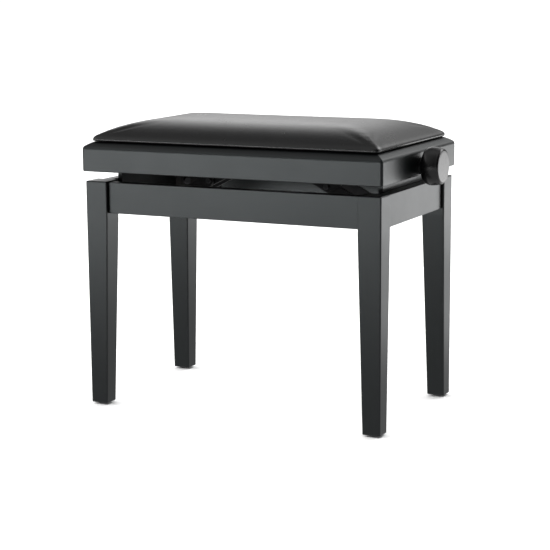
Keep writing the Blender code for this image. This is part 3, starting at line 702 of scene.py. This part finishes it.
def gather_corners(thing, low, high):
    """Presses the gathered folds into the four corners of the cover."""
    centre = (low + high) / 2
    reach = (high - low) / 2
    normals = [vertex.normal.copy() for vertex in thing.data.vertices]
    for vertex, normal in zip(thing.data.vertices, normals):
        a = reach.x - abs(vertex.co.x - centre.x)
        b = reach.y - abs(vertex.co.y - centre.y)
        if a > FOLD_REACH or b > FOLD_REACH or vertex.co.z < low.z + EDGE:
            continue
        along = (a + b) / math.sqrt(2)
        across = (a - b) / math.sqrt(2)
        rise = min(1.0, (vertex.co.z - low.z - EDGE) / FOLD_RISE)
        vertex.co += normal * (fold_height(along, across) * rise)


def make_cushion():
    """The leatherette pad: foam under a stretched cover, held round its edge and gathered at the corners."""
    low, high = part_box("cushion")
    shape = pad_shape(SLACK_CROWN)
    cushion = piece("leather_pad", shape, PLAIN["leatherette"], "seat", ["cushion"])
    even_mesh(cushion)
    blow_up(cushion, low.z)
    ease(cushion, low.z + EDGE, rounds=3)
    fit_crown(cushion, low.z + EDGE, high.z)
    rest_on_foam(cushion, low, high)
    ease(cushion, low.z + EDGE, rounds=2)
    refine(cushion)
    fit_outline(cushion, low, high)
    gather_corners(cushion, low, high)
    for polygon in cushion.data.polygons:
        polygon.use_smooth = True


# ---- studio ------------------------------------------------------------------------------------------------


def sky_direction(azimuth, elevation):
    """A unit vector. Azimuth 0 is +Y, behind the bench, and 90 is +X, its right."""
    turn = math.radians(azimuth)
    rise = math.radians(elevation)
    return Vector((math.sin(turn) * math.cos(rise), math.cos(turn) * math.cos(rise), math.sin(rise)))


# Which lobes stand here and in BOUNCE_LOBES, their strengths and BOUNCE_FLOOR come from a least-squares
# fit of the light to the picture of the bench.
SKY_LOBES = [
    # azimuth, elevation, sharpness, strength
    (-28.0, 14.0, 40.0, 1.10),
    (-28.0, 25.0, 40.0, 0.85),
    (5.0, 37.0, 40.0, 1.33),
    (22.0, 37.0, 40.0, 5.07),
    (40.0, 3.0, 40.0, 1.80),
    (40.0, 25.0, 40.0, 2.29),
    (-28.0, 85.0, 12.0, 0.58),
    (-110.0, 15.0, 6.0, 1.62),
    (-160.0, 45.0, 4.0, 0.27),
]


BACKDROP = 1.05


def make_world():
    """Soft light, brightest behind the bench to its right, and a plain white backdrop for the camera only."""
    world = bpy.data.worlds.new("studio")
    bpy.context.scene.world = world
    tree = Tree(world)
    way = tree.add("ShaderNodeTexCoord").outputs["Generated"]
    total = 0.0
    for azimuth, elevation, sharpness, strength in SKY_LOBES:
        near = tree.dot(way, tuple(sky_direction(azimuth, elevation)))
        fall = tree.maths("MULTIPLY", tree.maths("SUBTRACT", near, 1.0), sharpness)
        lobe = tree.maths("MULTIPLY", tree.maths("EXPONENT", fall), strength)
        total = tree.maths("ADD", total, lobe)
    seen = tree.add("ShaderNodeLightPath").outputs["Is Camera Ray"]
    light = tree.add("ShaderNodeBackground", None, Color=rgb(1.0, 1.0, 1.0), Strength=total)
    backdrop = tree.add("ShaderNodeBackground", None, Color=rgb(1.0, 1.0, 1.0), Strength=BACKDROP)
    mixed = tree.add("ShaderNodeMixShader")
    tree.put(mixed, 0, seen)
    tree.put(mixed, 1, light.outputs[0])
    tree.put(mixed, 2, backdrop.outputs[0])
    out = tree.add("ShaderNodeOutputWorld")
    tree.tree.links.new(mixed.outputs[0], out.inputs["Surface"])


def disc(name, radius, height, material):
    """A flat round stage object."""
    shape = bmesh.new()
    bmesh.ops.create_circle(shape, cap_ends=True, segments=64, radius=radius)
    data = bpy.data.meshes.new(name)
    shape.to_mesh(data)
    shape.free()
    thing = bpy.data.objects.new(name, data)
    bpy.context.scene.collection.objects.link(thing)
    thing.location = (0, 0, height)
    data.materials.append(material)
    return thing


FLOOR_RADIUS = 12.0
BOUNCE_BELOW = 2.0 * MM
BOUNCE_FLOOR = 0.54
BOUNCE_LOBES = [
    # x, y, width, strength
    (-1.68, -1.61, 0.60, 1.94),
    (-2.20, -4.45, 1.80, 10.6),
    (0.68, 0.80, 0.38, 1.21),
    (1.25, 1.96, 0.65, 1.89),
    (1.69, 2.85, 1.00, 2.54),
    (2.48, 4.45, 1.80, 1.94),
]


def bounce_material():
    """Light from below in place of the floor's own, with a few brighter patches round the bench."""
    material = bpy.data.materials.new("floor_bounce")
    tree = Tree(material)
    where = tree.add("ShaderNodeTexCoord").outputs["Object"]
    total = BOUNCE_FLOOR
    for x, y, width, strength in BOUNCE_LOBES:
        away = tree.add("ShaderNodeVectorMath", {"operation": "DISTANCE"})
        tree.put(away, 0, where)
        tree.put(away, 1, (x, y, 0.0))
        square = tree.maths("POWER", tree.maths("DIVIDE", away.outputs["Value"], width), 2.0)
        lobe = tree.maths("MULTIPLY", tree.maths("EXPONENT", tree.maths("MULTIPLY", square, -1.0)), strength)
        total = tree.maths("ADD", total, lobe)
    light = tree.add("ShaderNodeEmission", None, Color=rgb(1.0, 1.0, 1.0), Strength=total)
    out = tree.add("ShaderNodeOutputMaterial")
    tree.tree.links.new(light.outputs[0], out.inputs["Surface"])
    return material


def floor_material():
    """Plain white matt floor."""
    started = start_material("studio_floor")
    tree = started[1]
    grain = tree.noise(30.0, 3.0)
    return surface(started, tree.blend(grain, rgb(0.86, 0.86, 0.86), rgb(0.88, 0.88, 0.88)), 0.9)


def make_floor():
    """The floor that is seen, and under it the floor that only lights the bench from below."""
    floor = disc("floor", FLOOR_RADIUS, 0.0, floor_material())
    floor.visible_diffuse = False
    floor.visible_glossy = False
    bounce = disc("floor_bounce", FLOOR_RADIUS, -BOUNCE_BELOW, bounce_material())
    bounce.visible_camera = False
    bounce.visible_shadow = False
    return floor


FLOOR_LIGHT_SPREAD = math.radians(125.0)
FLOOR_LIGHT_FROM = sky_direction(-70.0, 62.0)
FLOOR_LIGHT_STRENGTH = 5.2


def only_these(name, things):
    """A collection for light linking."""
    group = bpy.data.collections.new(name)
    for thing in things:
        group.objects.link(thing)
    return group


def make_floor_light(floor):
    """A very broad light from above that only falls on the floor, and that only legs and glides shade."""
    data = bpy.data.lights.new("floor_light", "SUN")
    data.angle = FLOOR_LIGHT_SPREAD
    data.energy = FLOOR_LIGHT_STRENGTH
    light = bpy.data.objects.new("floor_light", data)
    bpy.context.scene.collection.objects.link(light)
    light.matrix_world = FLOOR_LIGHT_FROM.to_track_quat("Z", "Y").to_matrix().to_4x4()
    feet = [thing for name, thing in nodes.items() if name.startswith(("leg_front", "leg_rear", "glide"))]
    light.light_linking.receiver_collection = only_these("lit_by_floor_light", [floor])
    light.light_linking.blocker_collection = only_these("shade_the_floor", feet)
    light.visible_glossy = False
    light.visible_camera = False


def make_studio():
    """The lights, the floor and how the picture's brightness is shown."""
    make_world()
    floor = make_floor()
    make_floor_light(floor)
    view = bpy.context.scene.view_settings
    view.view_transform = "Standard"
    view.look = "None"


# ---- build -------------------------------------------------------------------------------------------------

make_camera()
make_studio()
finish_cad_nodes()
make_knob()
make_cushion()
